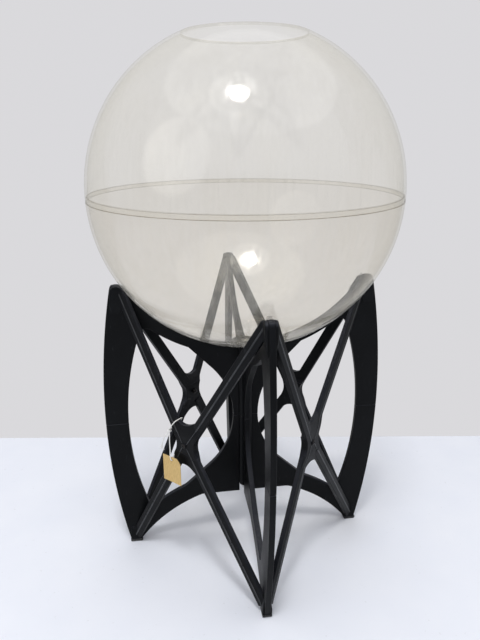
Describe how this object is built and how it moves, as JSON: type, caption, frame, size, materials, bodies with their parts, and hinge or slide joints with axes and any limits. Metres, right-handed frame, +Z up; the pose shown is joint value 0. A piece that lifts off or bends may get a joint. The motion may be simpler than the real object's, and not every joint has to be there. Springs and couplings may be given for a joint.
{
  "type": "globe vessel on stand",
  "caption": "Clear acrylic globe with a wide round mouth, resting in a black four-legged stand with windowed leg plates and crossed braces.",
  "frame": {"origin": "on the floor, on the vertical axis of the globe and the stand", "axes": "+Z up along the axis of the globe, -Y along the front leg, +X along the right leg"},
  "size_m": [0.4, 0.4, 0.706],
  "materials": {
    "clear_acrylic": "clear, polished, faintly yellowed",
    "black_plastic": "black, satin moulded",
    "dark_rubber": "matt",
    "clear_rubber": "clear soft silicone",
    "zinc_steel": "zinc plated",
    "black_steel": "black oxide",
    "kraft_card": "uncoated kraft board",
    "cotton_string": "twisted cotton"
  },
  "bodies": {
    "stand": {"leg_upper_front": "black_plastic", "leg_lower_front": "black_plastic", "leg_upper_right": "black_plastic", "leg_lower_right": "black_plastic", "leg_upper_back": "black_plastic", "leg_lower_back": "black_plastic", "leg_upper_left": "black_plastic", "leg_lower_left": "black_plastic", "hub_upper": "black_plastic", "hub_lower": "black_plastic", "hub_cap_top": "black_plastic", "hub_cap_bottom": "black_plastic", "tie_bolt": "zinc_steel", "tie_nut": "zinc_steel", "tip_bumper_front": "clear_rubber", "foot_pad_front": "dark_rubber", "tip_bumper_right": "clear_rubber", "foot_pad_right": "dark_rubber", "tip_bumper_back": "clear_rubber", "foot_pad_back": "dark_rubber", "tip_bumper_left": "clear_rubber", "foot_pad_left": "dark_rubber", "brace_upper_front_right": "black_plastic", "brace_lower_front_right": "black_plastic", "cross_screw_front_right": "black_steel", "cross_nut_front_right": "black_steel", "brace_upper_back_right": "black_plastic", "brace_lower_back_right": "black_plastic", "cross_screw_back_right": "black_steel", "cross_nut_back_right": "black_steel", "brace_upper_back_left": "black_plastic", "brace_lower_back_left": "black_plastic", "cross_screw_back_left": "black_steel", "cross_nut_back_left": "black_steel", "brace_upper_front_left": "black_plastic", "brace_lower_front_left": "black_plastic", "cross_screw_front_left": "black_steel", "cross_nut_front_left": "black_steel", "tag_string_loop": "cotton_string"},
    "bowl": {"lower_bowl": "clear_acrylic"},
    "dome": {"upper_dome": "clear_acrylic"},
    "tag": {"tag_string": "cotton_string", "tag_card": "kraft_card"}
  },
  "joints": [
    {"name": "bowl_lift", "type": "slide", "parent": "stand", "child": "bowl", "axis": [0, 0, 1], "range_m": [0, 0.12]},
    {"name": "dome_lift", "type": "slide", "parent": "bowl", "child": "dome", "axis": [0, 0, 1], "range_m": [0, 0.2]},
    {"name": "tag_swing", "type": "hinge", "parent": "stand", "child": "tag", "pos_m": [-0.11243, -0.06364, 0.22], "axis": [-0.7071, 0.7071, 0], "range_deg": [0, 60]}
  ]
}
